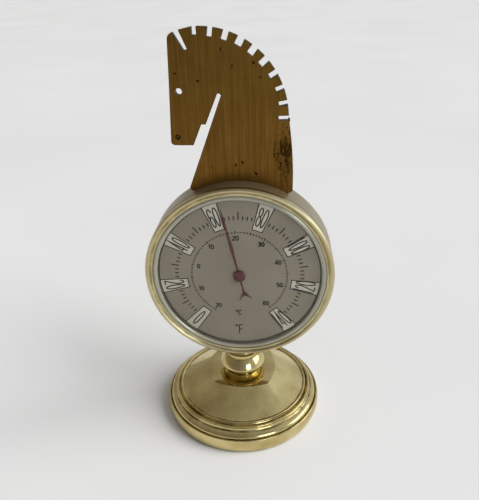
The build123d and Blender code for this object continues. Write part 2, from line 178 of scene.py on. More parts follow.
def polar(radius, angle):
    """A point by its radius and its angle in degrees, clockwise from the top of the dial."""
    return (radius * sin(radians(angle)), radius * cos(radians(angle)))


# ---- meshes ----------------------------------------------------------------------
def chain(bm, points, closed):
    """Vertices joined by edges through flat points, at height nothing."""
    verts = [bm.verts.new((x, y, 0)) for x, y in points]
    pairs = list(zip(verts, verts[1:])) + ([(verts[-1], verts[0])] if closed else [])
    return verts, [bm.edges.new(pair) for pair in pairs]


def lathe(section, closed=True, steps=None, edge=None):
    """Spin a section of (radius, height) points about the local z axis and soften its corners."""
    bm = bmesh.new()
    verts, edges = chain(bm, section, closed)
    bmesh.ops.rotate(bm, verts=verts, cent=(0, 0, 0), matrix=Matrix.Rotation(pi / 2, 3, "X"))
    bmesh.ops.spin(bm, geom=verts + edges, cent=(0, 0, 0), axis=(0, 0, 1), angle=2 * pi,
                   steps=steps or sizes().steps, use_merge=True, use_duplicate=False)
    bmesh.ops.remove_doubles(bm, verts=bm.verts, dist=1e-5)
    bmesh.ops.dissolve_degenerate(bm, edges=bm.edges, dist=1e-6)
    bmesh.ops.recalc_face_normals(bm, faces=bm.faces)
    soften(bm, sizes().edge / MM if edge is None else edge)
    return bm


def soften(bm, offset, angle=24):
    """Round every edge that turns by more than an angle."""
    if not offset:
        return
    sharp = [e for e in bm.edges if e.is_manifold and e.calc_face_angle(0) > radians(angle)]
    bmesh.ops.bevel(bm, geom=sharp, offset=offset, segments=2, profile=0.5, affect="EDGES",
                    clamp_overlap=True, material=-1)


def fill(bm, edges):
    """Fill flat loops of edges with faces; a loop inside another is a hole."""
    bmesh.ops.triangle_fill(bm, use_beauty=True, use_dissolve=False, edges=edges, normal=(0, 0, 1))


def raised(bm, low, high):
    """Turn flat faces at height nothing into plates, from low to high along the local z axis."""
    bmesh.ops.translate(bm, verts=bm.verts, vec=(0, 0, low))
    made = bmesh.ops.extrude_face_region(bm, geom=bm.faces[:])
    top = [v for v in made["geom"] if isinstance(v, bmesh.types.BMVert)]
    bmesh.ops.translate(bm, verts=top, vec=(0, 0, high - low))
    bmesh.ops.recalc_face_normals(bm, faces=bm.faces)


def piece(name, bm, place, material, body=STAND, replaces=(), crease=30):
    """Make a bmesh into a finished piece that rides on a body."""
    bmesh.ops.transform(bm, matrix=place, verts=bm.verts)
    for face in bm.faces:
        face.smooth = True
    mesh = bpy.data.meshes.new(name)
    bm.to_mesh(mesh)
    bm.free()
    mesh.set_sharp_from_angle(angle=radians(crease))
    mesh.materials.append(material)
    obj = bpy.data.objects.new(name, mesh)
    bpy.context.scene.collection.objects.link(obj)
    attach(obj, body)
    if replaces:
        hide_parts(*replaces)
    return obj


# ---- shader helpers ----------------------------------------------------------------
class Tree:
    """A node tree under construction, in a material or a group."""

    def __init__(self, tree):
        self.tree = tree

    def node(self, kind, **values):
        """Add a node; a value is a property, an unlinked input, or a socket to link."""
        made = self.tree.nodes.new(kind)
        inputs = {}
        for key, value in values.items():
            if hasattr(made, key) and not isinstance(value, bpy.types.NodeSocket):
                setattr(made, key, value)
            else:
                inputs[key] = value
        for key, value in inputs.items():
            self.feed(made, key, value)
        return made

    def feed(self, node, key, value):
        names = [s for s in node.inputs if s.name.replace(" ", "_") == key or s.identifier == key]
        if not names:
            raise KeyError(f"{node.bl_idname} has no input {key}")
        self.put(names[0], value)

    def put(self, socket, value):
        """Link an input to another socket, or give it a value of its own."""
        if isinstance(value, bpy.types.NodeSocket):
            self.tree.links.new(value, socket)
        else:
            socket.default_value = value

    def coordinates(self, scale=(1, 1, 1), location=(0, 0, 0)):
        """Object coordinates in millimetres, moved and stretched."""
        where = self.node("ShaderNodeTexCoord").outputs["Object"]
        mapping = self.node("ShaderNodeMapping", vector_type="POINT", Vector=where)
        mapping.inputs["Scale"].default_value = [s / MM for s in scale]
        mapping.inputs["Location"].default_value = location
        return mapping.outputs["Vector"]

    def noise(self, vector, scale, detail=3.0, roughness=0.5):
        return self.node("ShaderNodeTexNoise", Vector=vector, Scale=scale, Detail=detail,
                         Roughness=roughness).outputs["Fac"]

    def remap(self, value, low, high, to_low=0.0, to_high=1.0):
        """A value's stretch from low to high, sent to another stretch and clamped."""
        return self.node("ShaderNodeMapRange", Value=value, From_Min=low, From_Max=high, To_Min=to_low,
                         To_Max=to_high).outputs["Result"]

    def mix(self, factor, one, other):
        made = self.tree.nodes.new("ShaderNodeMix")
        made.data_type = "RGBA"
        for identifier, value in (("Factor_Float", factor), ("A_Color", one), ("B_Color", other)):
            socket = next(s for s in made.inputs if s.identifier == identifier)
            self.put(socket, (*value, 1) if isinstance(value, tuple) else value)
        return next(s for s in made.outputs if s.identifier == "Result_Color")

    def math(self, operation, one, other=0.0):
        made = self.tree.nodes.new("ShaderNodeMath")
        made.operation = operation
        for socket, value in zip(made.inputs, (one, other)):
            self.put(socket, value)
        return made.outputs[0]

    def add(self, one, other):
        return self.math("ADD", one, other)

    def sub(self, one, other):
        return self.math("SUBTRACT", one, other)

    def mul(self, one, other):
        return self.math("MULTIPLY", one, other)

    def div(self, one, other):
        return self.math("DIVIDE", one, other)

    def stronger(self, one, other):
        """The stronger of two masks at each place."""
        return self.math("MAXIMUM", one, other)

    def slant(self, one, other):
        """How far a point is from nothing, by its distances along two axes."""
        return self.math("SQRT", self.add(self.mul(one, one), self.mul(other, other)))

    def parts(self, vector):
        """A vector's three coordinates."""
        return self.node("ShaderNodeSeparateXYZ", Vector=vector).outputs[:]


def group(name, inputs, outputs, draw):
    """A shader node group that reads a vector, built once; draw gets its inputs and returns its outputs."""
    found = bpy.data.node_groups.get(name)
    if found:
        return found
    made = bpy.data.node_groups.new(name, "ShaderNodeTree")
    made.interface.new_socket(name="Vector", in_out="INPUT", socket_type="NodeSocketVector")
    for label, value in inputs.items():
        socket = made.interface.new_socket(name=label, in_out="INPUT", socket_type="NodeSocketFloat")
        socket.default_value = value
    for label in outputs:
        made.interface.new_socket(name=label, in_out="OUTPUT", socket_type="NodeSocketFloat")
    tree = Tree(made)
    entry = made.nodes.new("NodeGroupInput")
    leave = made.nodes.new("NodeGroupOutput")
    results = draw(tree, {s.name: s for s in entry.outputs if s.name})
    for label, socket in results.items():
        made.links.new(socket, leave.inputs[label])
    return made


def brushed_group():
    """Grain drawn out along one direction: a mask for colour and roughness, and a height."""
    def draw(t, given):
        wide = t.noise(given["Vector"], 1.0, 4.0, 0.6)
        fine = t.noise(given["Vector"], 3.7, 5.0, 0.7)
        both = t.add(t.mul(wide, 0.55), t.mul(fine, 0.45))
        mask = t.remap(both, 0.36, 0.64)
        return {"Mask": mask, "Height": t.mul(mask, given["Depth"])}
    return group("Brushed Grain", {"Depth": 1.0}, ("Mask", "Height"), draw)


def tarnish_group():
    """Cloudy patches and small spots where handled metal has dulled."""
    def draw(t, given):
        cloud = t.noise(given["Vector"], given["Patch Scale"], 5.0, 0.6)
        patches = t.remap(cloud, 0.42, 0.72)
        cells = t.node("ShaderNodeTexVoronoi", Vector=given["Vector"], Scale=given["Spot Scale"],
                       Randomness=1.0)
        reach = t.mul(t.noise(given["Vector"], 2.3, 2.0), given["Spot Size"])
        near = t.sub(reach, cells.outputs["Distance"])
        spots = t.remap(near, 0.0, 0.05)
        return {"Patches": patches, "Spots": spots}
    inputs = {"Patch Scale": 0.08, "Spot Scale": 0.3, "Spot Size": 0.1}
    return group("Tarnish", inputs, ("Patches", "Spots"), draw)


def scratch_group():
    """Fine hairline scratches lying in all directions."""
    def draw(t, given):
        total = None
        for turn in (0.3, 1.4, 2.5):
            turned = t.node("ShaderNodeVectorRotate", rotation_type="AXIS_ANGLE", Vector=given["Vector"],
                            Axis=(0.3, 1.0, 0.2), Angle=turn).outputs[0]
            stretched = t.node("ShaderNodeVectorMath", operation="MULTIPLY", Vector=turned)
            stretched.inputs[1].default_value = (0.06, 1.0, 2.6)
            lines = t.remap(t.noise(stretched.outputs[0], 2.0, 2.0, 0.5), 0.66, 0.74)
            total = lines if total is None else t.stronger(total, lines)
        return {"Mask": t.mul(total, given["Amount"])}
    return group("Hairlines", {"Amount": 1.0}, ("Mask",), draw)


def soil_group():
    """Dirt and painted shade gathered along one ring of a turned part, given by its radius and its height on
    the axis.
    """
    def draw(t, given):
        x, y, z = t.parts(given["Vector"])
        off = t.sub(t.slant(x, y), given["Radius"])
        up = t.sub(z, given["Height"])
        away = t.slant(off, up)
        ragged = t.remap(t.noise(given["Vector"], 0.16, 3.0, 0.55), 0.36, 0.62, 0.35, 1.5)
        near = t.sub(t.mul(ragged, given["Width"]), away)
        return {"Mask": t.remap(t.div(near, given["Width"]), 0.0, 0.8)}
    return group("Ring Soil", {"Radius": 10.0, "Height": 0.0, "Width": 0.5}, ("Mask",), draw)


def soiled(t, where, rings):
    """The darkest of the dirt and painted shade on several (radius, height, width) rings."""
    total = None
    for radius, height, width in rings:
        mask = use(t, soil_group(), Vector=where, Radius=radius, Height=height, Width=width)["Mask"]
        total = mask if total is None else t.stronger(total, mask)
    return total


def use(tree, made, **values):
    """Place a node group in a tree with its own values."""
    node = tree.tree.nodes.new("ShaderNodeGroup")
    node.node_tree = made
    for key, value in values.items():
        tree.feed(node, key, value)
    return node.outputs


def material(name, draw, **constants):
    """A material round one Principled shader; draw returns the sockets that vary over the surface."""
    found = bpy.data.materials.get(name)
    if found:
        return found
    made = bpy.data.materials.new(name)
    made.use_nodes = True
    shader = made.node_tree.nodes["Principled BSDF"]
    for key, value in constants.items():
        shader.inputs[key.replace("_", " ")].default_value = value
    tree = Tree(made.node_tree)
    for key, value in draw(tree).items():
        tree.feed(shader, key, value)
    return made


def shade(color, *by):
    """A colour times one factor, or times a factor for each channel."""
    return tuple(c * f for c, f in zip(color, by * 3 if len(by) == 1 else by))


def bumped(tree, height, distance):
    """A normal from a height, with a bump distance in metres."""
    return tree.node("ShaderNodeBump", Strength=1.0, Distance=distance, Height=height).outputs["Normal"]


# ---- finishes ------------------------------------------------------------------------
def polished_brass(name, color, low=0.1, high=0.26, patch=0.08, rings=()):
    """Lacquered brass, bright but handled: cloudy dull patches, tiny spots, hairlines, and dirt with painted
    shade in rings.
    """
    def draw(t):
        where = t.coordinates()
        tarnish = use(t, tarnish_group(), Vector=where, Patch_Scale=patch, Spot_Scale=0.42, Spot_Size=0.2)
        lines = use(t, scratch_group(), Vector=where, Amount=0.9)["Mask"]
        dull = shade(color, 0.66, 0.60, 0.50)
        dark = shade(color, 0.30)
        tint = t.mix(tarnish["Patches"], color, dull)
        tint = t.mix(tarnish["Spots"], tint, dark)
        if rings:
            # dirt and painted shade darken the colour along the rings
            dirt_and_shade = t.mul(soiled(t, where, rings), 0.85)
            tint = t.mix(dirt_and_shade, tint, shade(color, 0.14))
        rough = t.remap(tarnish["Patches"], 0.0, 1.0, low, high)
        rough = t.add(rough, t.mul(lines, 0.12))
        rough = t.add(rough, t.mul(tarnish["Spots"], 0.25))
        wave = t.noise(where, 0.3, 5.0, 0.6)
        height = t.sub(t.mul(wave, 0.9), t.mul(lines, 0.02))
        height = t.sub(height, t.mul(tarnish["Spots"], 0.03))
        return {"Base_Color": tint, "Roughness": rough, "Normal": bumped(t, height, 0.00003)}
    return material(name, draw, Metallic=1.0)


def satin_brass(name, color, rings=(), metallic=1.0):
    """Pale brass turned on a lathe: fine lines round the dial's axis under lacquer, and rings of dirt and
    painted shade.
    """
    def draw(t):
        where = t.coordinates(location=(0, 0, -DIAL_Z))
        x, y, z = t.parts(where)
        wound = t.node("ShaderNodeCombineXYZ", X=t.mul(t.slant(x, z), 3.0), Y=t.mul(y, 3.0), Z=0.0)
        grain = use(t, brushed_group(), Vector=wound.outputs[0], Depth=1.0)
        tarnish = use(t, tarnish_group(), Vector=where, Patch_Scale=0.06, Spot_Scale=0.22, Spot_Size=0.13)
        dull = shade(color, 0.80, 0.76, 0.68)
        dark = shade(color, 0.28)
        tint = t.mix(tarnish["Patches"], color, dull)
        tint = t.mix(tarnish["Spots"], tint, dark)
        if rings:
            turned = t.node("ShaderNodeCombineXYZ", X=x, Y=z, Z=t.mul(y, -1.0)).outputs[0]
            # dirt along the seam, and painted shade with dirt in the bezel's groove
            dirt_and_shade = t.mul(soiled(t, turned, rings), 0.55)
            tint = t.mix(dirt_and_shade, tint, shade(color, 0.22, 0.18, 0.10))
        rough = t.add(t.remap(grain["Mask"], 0.0, 1.0, 0.26, 0.38), t.mul(tarnish["Patches"], 0.08))
        return {"Base_Color": tint, "Roughness": rough, "Normal": bumped(t, grain["Height"], 0.0000006)}
    return material(name, draw, Metallic=metallic)


def aged_brass(name, color):
    """Sheet brass gone brown with age: upright brush marks, pits, dark edges and a corroded patch."""
    def draw(t):
        grain = use(t, brushed_group(), Vector=t.coordinates(scale=(2.8, 2.8, 0.04)), Depth=1.0)
        streak = t.noise(t.coordinates(scale=(0.9, 0.9, 0.03)), 1.0, 4.0, 0.6)
        where = t.coordinates(location=(0, 0, -DRUM_TOP))
        flecks = t.coordinates(scale=(1.0, 1.0, 0.42), location=(0, 0, -DRUM_TOP))
        tarnish = use(t, tarnish_group(), Vector=where, Patch_Scale=0.09, Spot_Scale=0.17, Spot_Size=0.21)
        pits = use(t, tarnish_group(), Vector=flecks, Patch_Scale=0.2, Spot_Scale=0.26,
                   Spot_Size=0.16)["Spots"]
        across, _, height = t.parts(where)
        # the plate is made lighter and redder towards the bottom
        low_down = t.remap(height, 2.0, 34.0, 1.0, 0.0)
        bright = shade(color, 1.75, 1.42, 1.50)
        brown = shade(color, 0.46, 0.40, 0.36)
        dark = shade(color, 0.08)
        tint = t.mix(t.mul(low_down, 0.45), color, bright)
        tint = t.mix(t.remap(streak, 0.35, 0.68, 0.0, 0.5), tint, brown)
        tint = t.mix(t.remap(grain["Mask"], 0.0, 1.0, 0.75, 0.0), tint, brown)
        tint = t.mix(t.mul(tarnish["Patches"], 0.45), tint, brown)
        rim = t.node("ShaderNodeAttribute", attribute_name="rim").outputs["Fac"]
        edge = t.mul(t.remap(rim, 0.1, 0.9), t.remap(streak, 0.3, 0.6, 0.55, 0.95))
        # the corroded patch: strongest at its middle, broken into small marks drawn out along the grain
        off = t.div(t.sub(across, 16.5), 4.6)
        up = t.div(t.sub(height, 10.0), 8.5)
        away = t.slant(off, up)
        rust = t.noise(t.coordinates(scale=(1.3, 1.3, 0.6)), 1.0, 5.0, 0.75)
        patch = t.remap(t.sub(rust, t.mul(away, 0.2)), 0.33, 0.43)
        marks = t.stronger(t.stronger(tarnish["Spots"], pits), t.mul(patch, 0.8))
        tint = t.mix(t.stronger(marks, edge), tint, dark)
        rough = t.add(t.remap(grain["Mask"], 0.0, 1.0, 0.50, 0.34), t.mul(marks, 0.3))
        relief = t.sub(grain["Height"], t.mul(marks, 3.0))
        return {"Base_Color": tint, "Roughness": rough, "Normal": bumped(t, relief, 0.000014)}
    return material(name, draw, Metallic=1.0)


def dial_paint(name, color, rough=0.42, metallic=0.55):
    """Satin metallic lacquer with a very fine grain and a little soiling."""
    def draw(t):
        where = t.coordinates()
        grain = t.noise(where, 9.0, 3.0, 0.6)
        cloud = t.noise(where, 0.07, 4.0, 0.55)
        dirty = shade(color, 0.84, 0.82, 0.76)
        tint = t.mix(t.remap(cloud, 0.35, 0.7, 0.0, 0.7), color, dirty)
        tint = t.mix(t.remap(grain, 0.3, 0.7, 0.0, 0.16), tint, shade(color, 1.25))
        return {"Base_Color": tint, "Roughness": t.remap(grain, 0.3, 0.7, rough - 0.05, rough + 0.06),
                "Normal": bumped(t, grain, 0.0000015)}
    return material(name, draw, Metallic=metallic)


def ink(name):
    """Black printing ink, a little uneven in cover."""
    def draw(t):
        patchy = t.noise(t.coordinates(), 3.0, 4.0, 0.6)
        return {"Base_Color": t.mix(t.remap(patchy, 0.35, 0.7), (0.004, 0.004, 0.003), (0.012, 0.010, 0.008)),
                "Roughness": t.remap(patchy, 0.3, 0.7, 0.5, 0.7)}
    return material(name, draw)


def red_enamel(name, color):
    """Deep red enamel on thin sheet, with faint streaks and dust in it."""
    def draw(t):
        where = t.coordinates()
        streak = t.noise(where, 0.9, 3.0, 0.6)
        dust = t.noise(where, 7.0, 2.0, 0.5)
        tint = t.mix(t.remap(streak, 0.3, 0.7), color, shade(color, 1.5))
        tint = t.mix(t.remap(dust, 0.62, 0.75, 0.0, 0.35), tint, (0.30, 0.20, 0.17))
        return {"Base_Color": tint, "Roughness": t.remap(dust, 0.3, 0.7, 0.3, 0.45)}
    return material(name, draw, Coat_Weight=0.3)


def steel(name, color=(0.5, 0.5, 0.48), rough=0.32):
    """Plain machined steel with a fine lengthwise draw."""
    def draw(t):
        grain = use(t, brushed_group(), Vector=t.coordinates(scale=(4.0, 0.6, 4.0)), Depth=1.0)
        tint = t.mix(grain["Mask"], shade(color, 0.75), color)
        return {"Base_Color": tint, "Roughness": t.remap(grain["Mask"], 0.0, 1.0, rough + 0.1, rough),
                "Normal": bumped(t, grain["Height"], 0.000002)}
    return material(name, draw, Metallic=1.0)


def rough_iron(name):
    """Cast iron with its sand-cast skin."""
    def draw(t):
        where = t.coordinates()
        skin = t.noise(where, 1.6, 6.0, 0.7)
        tint = t.mix(t.remap(skin, 0.35, 0.65), (0.035, 0.034, 0.033), (0.09, 0.085, 0.08))
        return {"Base_Color": tint, "Roughness": t.remap(skin, 0.3, 0.7, 0.6, 0.85),
                "Normal": bumped(t, skin, 0.00015)}
    return material(name, draw, Metallic=0.6)


def felt(name):
    """Dark green baize: matted short fibres."""
    def draw(t):
        where = t.coordinates()
        fibre = t.noise(where, 5.0, 6.0, 0.75)
        lump = t.noise(where, 0.4, 3.0)
        tint = t.mix(t.remap(fibre, 0.3, 0.7), (0.008, 0.03, 0.016), (0.03, 0.085, 0.045))
        tint = t.mix(t.remap(lump, 0.4, 0.7, 0.0, 0.4), tint, (0.05, 0.07, 0.05))
        return {"Base_Color": tint, "Roughness": t.remap(fibre, 0.3, 0.7, 0.85, 1.0),
                "Normal": bumped(t, fibre, 0.00012)}
    return material(name, draw, Sheen_Weight=0.4)


def clear_glass(name):
    """Thin clear crystal with faint wiped smears; light passes straight through to the dial."""
    def draw(t):
        smear = t.noise(t.coordinates(scale=(0.25, 0.25, 0.8)), 0.5, 4.0, 0.6)
        return {"Roughness": t.remap(smear, 0.4, 0.75, 0.02, 0.07)}
    return shadowless(material(name, draw, Transmission_Weight=1.0, IOR=1.2))


def shadowless(made):
    """Let light through a material to what lies behind it."""
    nodes, links = made.node_tree.nodes, made.node_tree.links
    if "Light Path" not in nodes:
        path = nodes.new("ShaderNodeLightPath")
        path.name = "Light Path"
        clear = nodes.new("ShaderNodeBsdfTransparent")
        either = nodes.new("ShaderNodeMixShader")
        links.new(path.outputs["Is Shadow Ray"], either.inputs[0])
        links.new(nodes["Principled BSDF"].outputs[0], either.inputs[1])
        links.new(clear.outputs[0], either.inputs[2])
        links.new(either.outputs[0], nodes["Material Output"].inputs["Surface"])
    return made


def silvered_edge(name):
    """The crystal's rounded shoulder: it gathers light like pale satin metal, and its pale colour is partly
    painted reflection of the floor in the glass's edge; with dust along it.
    """
    def draw(t):
        where = t.coordinates()
        cloud = t.noise(where, 0.12, 3.0, 0.6)
        dust = t.noise(where, 2.6, 4.0, 0.7)
        # pale colour: partly painted reflection of the floor in the glass's rounded edge
        tint = t.mix(t.remap(cloud, 0.35, 0.7), (0.41, 0.395, 0.31), (0.34, 0.325, 0.25))
        tint = t.mix(t.remap(dust, 0.55, 0.8, 0.0, 0.3), tint, (0.55, 0.54, 0.48))
        return {"Base_Color": tint, "Roughness": t.remap(dust, 0.3, 0.7, 0.10, 0.2)}
    return shadowless(material(name, draw, Metallic=0.4, Coat_Weight=0.5))


def foot_brass():
    """The foot's and stem's brass, with dirt and painted shade in its grooves and painted shadow under the
    knob: each ring is a radius, a height and a width.
    """
    rings = (
        # dirt and painted shade in the foot's grooves
        (FOOT_R - 1.15, RIM_HIGH - 0.4, 0.4),
        (FOOT_R - 3.4, RIM_HIGH + 1.9, 0.4),
        (BEAD_R + 0.75, RIM_HIGH + 3.15, 0.45),
        (BEAD_R - 0.75, RIM_HIGH + 4.2, 0.22),
        # painted shadow under the knob: on the top beneath its rim, and in its undercut
        (KNOB_R - 2.8, PLATEAU + 0.3, 0.5),
        (KNOB_R - 1.4, PLATEAU + 2.4, 0.7),
        (COLLAR_R - 0.3, KNOB_HIGH.z, 0.3),
    )
    return polished_brass("Polished Brass", finish("brass"), rings=rings)


def case_brass():
    seam = (DRUM_R, DRUM_FRONT, 0.2)
    return satin_brass("Drum Brass", finish("case"), (seam,), 0.72)


def bezel_brass():
    seam = (DRUM_R, DRUM_FRONT, 0.2)
    # the ring inside the bezel's bead is painted shade with dirt; the seam is dirt along the joint
    rings = ((DRUM_R - 1.9, BEZEL_FRONT - 0.5, 0.45), seam)
    return satin_brass("Bezel Brass", finish("bezel"), rings)


def small_brass():
    return polished_brass("Turned Brass", shade(finish("brass"), 0.92), 0.25, 0.4, 0.3)


# ---- operators: one for each piece or group of like pieces --------------------------
class Build:
    """What the piece operators share."""
    bl_options = {"REGISTER", "UNDO"}


class THERMO_OT_foot(Build, Operator):
    """Turn the foot: rolled rim, cove, two beads and a dome squared off to a small four-sided top"""
    bl_idname = "thermo.foot"
    bl_label = "Foot"

    def execute(self, context):
        rim, bead = RIM_HIGH, BEAD_R
        dome, base = bead - 0.8, rim + 4.4
        side, corner = 13.5, 15.4  # from the axis to the middle of a side and to a corner of the top
        outer = outline(
            (FOOT_R - 0.5, 0.4),
            ((FOOT_R + 0.15, 3.0), (FOOT_R - 0.25, rim - 0.35)),
            ((FOOT_R - 0.4, rim), (FOOT_R - 0.85, rim - 0.1)),
            (FOOT_R - 1.15, rim - 0.45),
            ((FOOT_R - 2.0, rim + 1.35), (FOOT_R - 3.25, rim + 1.9)),
            ((FOOT_R - 3.65, rim + 2.4), (FOOT_R - 3.7, rim + 3.4)),
            ((bead + 1.55, rim + 3.85), (bead + 1.05, rim + 3.6)),
            (bead + 0.75, rim + 3.15),
            (bead + 0.25, rim + 3.9),
            ((bead - 0.1, base + 0.12), (bead - 0.5, base)),
            (dome, base - 0.25),
            *rows((dome, base - 0.25), (side, PLATEAU), 14),
            (side, PLATEAU),
            *rows((side, PLATEAU), (STUD_R, PLATEAU), 6),
            (STUD_R, PLATEAU),
            count=10,
        )
        inside = outline(
            (STUD_R, PLATEAU - 2.4),
            (side - 2.5, PLATEAU - 2.4),
            (dome - 4.4, rim + 2.0),
            (FOOT_R - 5.5, rim + 2.0),
            (FOOT_R - 5.5, rim - 1.3),
            (FOOT_R - 1.7, rim - 1.3),
            (FOOT_R - 1.7, 0.4),
        )
        bm = lathe(outer + inside, edge=0)
        # The dome's round sections turn square towards the top: four shallow bows that meet at corners.
        bulge = corner * sqrt(0.5)
        sagitta = side - bulge
        bow = (bulge ** 2 + sagitta ** 2) / (2 * sagitta)
        centre = side - bow
        top = PLATEAU - base + 0.25
        for vert in bm.verts:
            share = (vert.co.z - base + 0.25) / top
            reach = vert.co.xy.length
            if share <= 0 or reach < side - 0.01 + (dome - side) * (1 - share) - 0.02:
                continue
            turn = (atan2(vert.co.y, vert.co.x) + pi / 4) % (pi / 2) - pi / 4
            square = centre * cos(turn) + sqrt(bow ** 2 - (centre * sin(turn)) ** 2)
            vert.co.xy *= 1 + share * (square / side - 1) * side / reach
        soften(bm, sizes().edge / MM, 20)
        piece("foot_shell", bm, UPRIGHT, foot_brass(), replaces=("base_shell",), crease=24)
        return {"FINISHED"}


class THERMO_OT_stem(Build, Operator):
    """Turn the knob and the neck collar that carries the case"""
    bl_idname = "thermo.stem"
    bl_label = "Stem"

    def execute(self, context):
        low, high, wide, collar = KNOB_LOW.z, KNOB_HIGH.z, KNOB_R, COLLAR_R
        middle = low + 3.9
        knob = outline(
            (STUD_R, low),
            (wide - 2.8, low),
            (wide - 2.8, low + 1.2),
            (wide - 0.45, middle - 0.55),
            ((wide - 0.05, middle - 0.35), (wide, middle)),
            ((wide - 0.95, middle + 2.1), (collar - 0.15, high)),
            (STUD_R, high),
            count=14,
        )
        piece("stem_bulb", lathe(knob), UPRIGHT, foot_brass(), replaces=("stem_knob",))
        step, waist = high + 2.4, collar - 1.0
        seat = DIAL_Z - DRUM_R
        neck = outline(
            (STUD_R, high),
            (collar - 0.3, high),
            ((collar - 0.09, high + 0.09), (collar, high + 0.3)),
            (collar, step - 0.6),
            ((collar - 0.8, step), (waist, step + 1.1)),
            (waist, seat),
            (STUD_R, seat),
            count=8,
        )
        bm = lathe(neck)
        for vert in bm.verts:
            if vert.co.z > seat - 0.2:
                drop = DRUM_R - sqrt(DRUM_R ** 2 - vert.co.x ** 2)
                vert.co.z = seat + drop - 0.005
        piece("neck_ring", bm, UPRIGHT, foot_brass(), replaces=("neck_collar",))
        return {"FINISHED"}


class THERMO_OT_case(Build, Operator):
    """Turn the drum, open at the front and closed by its own back"""
    bl_idname = "thermo.case"
    bl_label = "Case"

    def execute(self, context):
        bore, back = DRUM_R - 0.9, DRUM_REAR + 1.0
        section = outline(
            (3.0, DRUM_REAR),
            (DRUM_R - 1.1, DRUM_REAR),
            ((DRUM_R - 0.32, DRUM_REAR + 0.32), (DRUM_R, DRUM_REAR + 1.1)),
            *rows((DRUM_R, DRUM_REAR + 1.1), (DRUM_R, DRUM_FRONT), 6),
            (DRUM_R, DRUM_FRONT),
            (bore, DRUM_FRONT),
            (bore, back + 0.4),
            ((bore - 0.12, back + 0.12), (bore - 0.4, back)),
            (3.0, back),
            count=6,
        )
        piece("case_shell", lathe(section), CASE, case_brass(), replaces=("case_drum",))
        return {"FINISHED"}


class THERMO_OT_bezel(Build, Operator):
    """Turn the bezel: a spigot for the drum, a rolled bead, and a flat lip over the crystal's rim"""
    bl_idname = "thermo.bezel"
    bl_label = "Bezel"

    def execute(self, context):
        spigot = DRUM_R - 0.95
        rebate = CRYSTAL_R + 0.1
        opening = CRYSTAL_R - 0.9
        shelf = CRYSTAL_REAR + CRYSTAL_THICK
        section = outline(
            (spigot, BEZEL_REAR),
            (spigot, DRUM_FRONT),
            (DRUM_R, DRUM_FRONT),
            (DRUM_R, BEZEL_FRONT - 0.85),
            ((DRUM_R - 0.85, BEZEL_FRONT), (DRUM_R - 1.45, BEZEL_FRONT - 0.25)),
            (opening + 0.95, shelf + 0.3),
            (opening + 0.1, shelf + 0.3),
            (opening, shelf + 0.2),
            (opening, shelf),
            (rebate, shelf),
            (rebate, BEZEL_REAR),
            count=10,
        )
        piece("bezel_ring", lathe(section, edge=0.05), CASE, bezel_brass(), replaces=("bezel",))
        return {"FINISHED"}


class THERMO_OT_crystal(Build, Operator):
    """Blow the crystal: a shallow clear dome, a flat rim under the bezel and a bright shoulder between"""
    bl_idname = "thermo.crystal"
    bl_label = "Crystal"

    def execute(self, context):
        shelf = CRYSTAL_REAR + CRYSTAL_THICK
        rise = CRYSTAL_TOP - shelf
        edge = CRYSTAL_R - 0.95
        parting = 30.3          # where the dome ends and the shoulder begins
        bulge = 0.76 * rise     # the dome's rise halfway out
        face = outline((0.0, CRYSTAL_TOP), ((parting / 2, shelf + bulge), (parting, shelf)), count=40)
        under = ((parting / 2, CRYSTAL_REAR + bulge), (0.0, CRYSTAL_REAR + rise))
        section = face + [(CRYSTAL_R, shelf), (CRYSTAL_R, CRYSTAL_REAR)]
        section += outline((parting, CRYSTAL_REAR), under, count=24)
        bm = lathe(section, closed=False, steps=128, edge=0)
        piece("crystal_dome", bm, CASE, clear_glass("Crystal"), replaces=("crystal",))
        foot = shelf + 0.01
        # the shoulder: an opaque pale ring, partly painted reflection standing in for the glass's bright edge
        ring = outline((parting + 0.1, foot), ((parting + 1.0, foot + 0.45), (edge, foot)), count=12)
        piece("crystal_shoulder", lathe(ring, edge=0), CASE, silvered_edge("Crystal Edge"))
        return {"FINISHED"}


# ---- the dial's print -----------------------------------------------------------------
def oval(x, y, wide, high, first=0, last=360, count=20):
    """Points on an oval about (x, y), by angle in degrees anticlockwise from the right."""
    turns = [radians(first + (last - first) * i / count) for i in range(count + 1)]
    return [(x + wide * cos(t), y + high * sin(t)) for t in turns]


# Each figure is one or more pen strokes in a box from -0.5 to 0.5 across and 0 to 1 up.
FIGURES = {
    "0": [oval(0, 0.5, 0.5, 0.5)],
    "1": [[(-0.28, 0.80), (0.0, 1.0), (0.0, 0.0)]],
    "2": [oval(0, 0.74, 0.48, 0.26, 165, -35) + [(-0.5, 0.0), (0.5, 0.0)]],
    "3": [oval(-0.04, 0.75, 0.46, 0.25, 150, -90, 14) + oval(-0.04, 0.26, 0.52, 0.26, 85, -150, 16)],
    "4": [[(0.5, 0.24), (-0.5, 0.24), (0.22, 1.0), (0.22, 0.0)]],
    "5": [[(0.42, 1.0), (-0.34, 1.0), (-0.40, 0.56)] + oval(0, 0.32, 0.5, 0.32, 125, -145, 16)],
    "6": [oval(0.0, 0.62, 0.48, 0.38, 25, 180, 12) + oval(0.0, 0.29, 0.48, 0.29, 180, 520, 20)],
    "8": [oval(0, 0.77, 0.40, 0.23), oval(0, 0.27, 0.5, 0.27)],
    "C": [oval(0, 0.5, 0.5, 0.5, 40, 320, 18)],
    "F": [[(0.5, 1.0), (-0.5, 1.0), (-0.5, 0.0)], [(-0.5, 0.52), (0.3, 0.52)]],
    "o": [oval(0, 0.5, 0.5, 0.5, count=12)],
}


def write(text, wide, gap, high):
    """Pen strokes for a row of figures, centred on its own middle, in millimetres."""
    widths = [wide * (0.45 if figure == "1" else 1.0) for figure in text]
    left = -(sum(widths) + gap * (len(text) - 1)) / 2
    strokes = []
    for figure, across in zip(text, widths):
        middle = left + across / 2
        stretch = wide if figure == "1" else across
        strokes += [[(middle + x * stretch, (y - 0.5) * high) for x, y in line] for line in FIGURES[figure]]
        left += across + gap
    return strokes


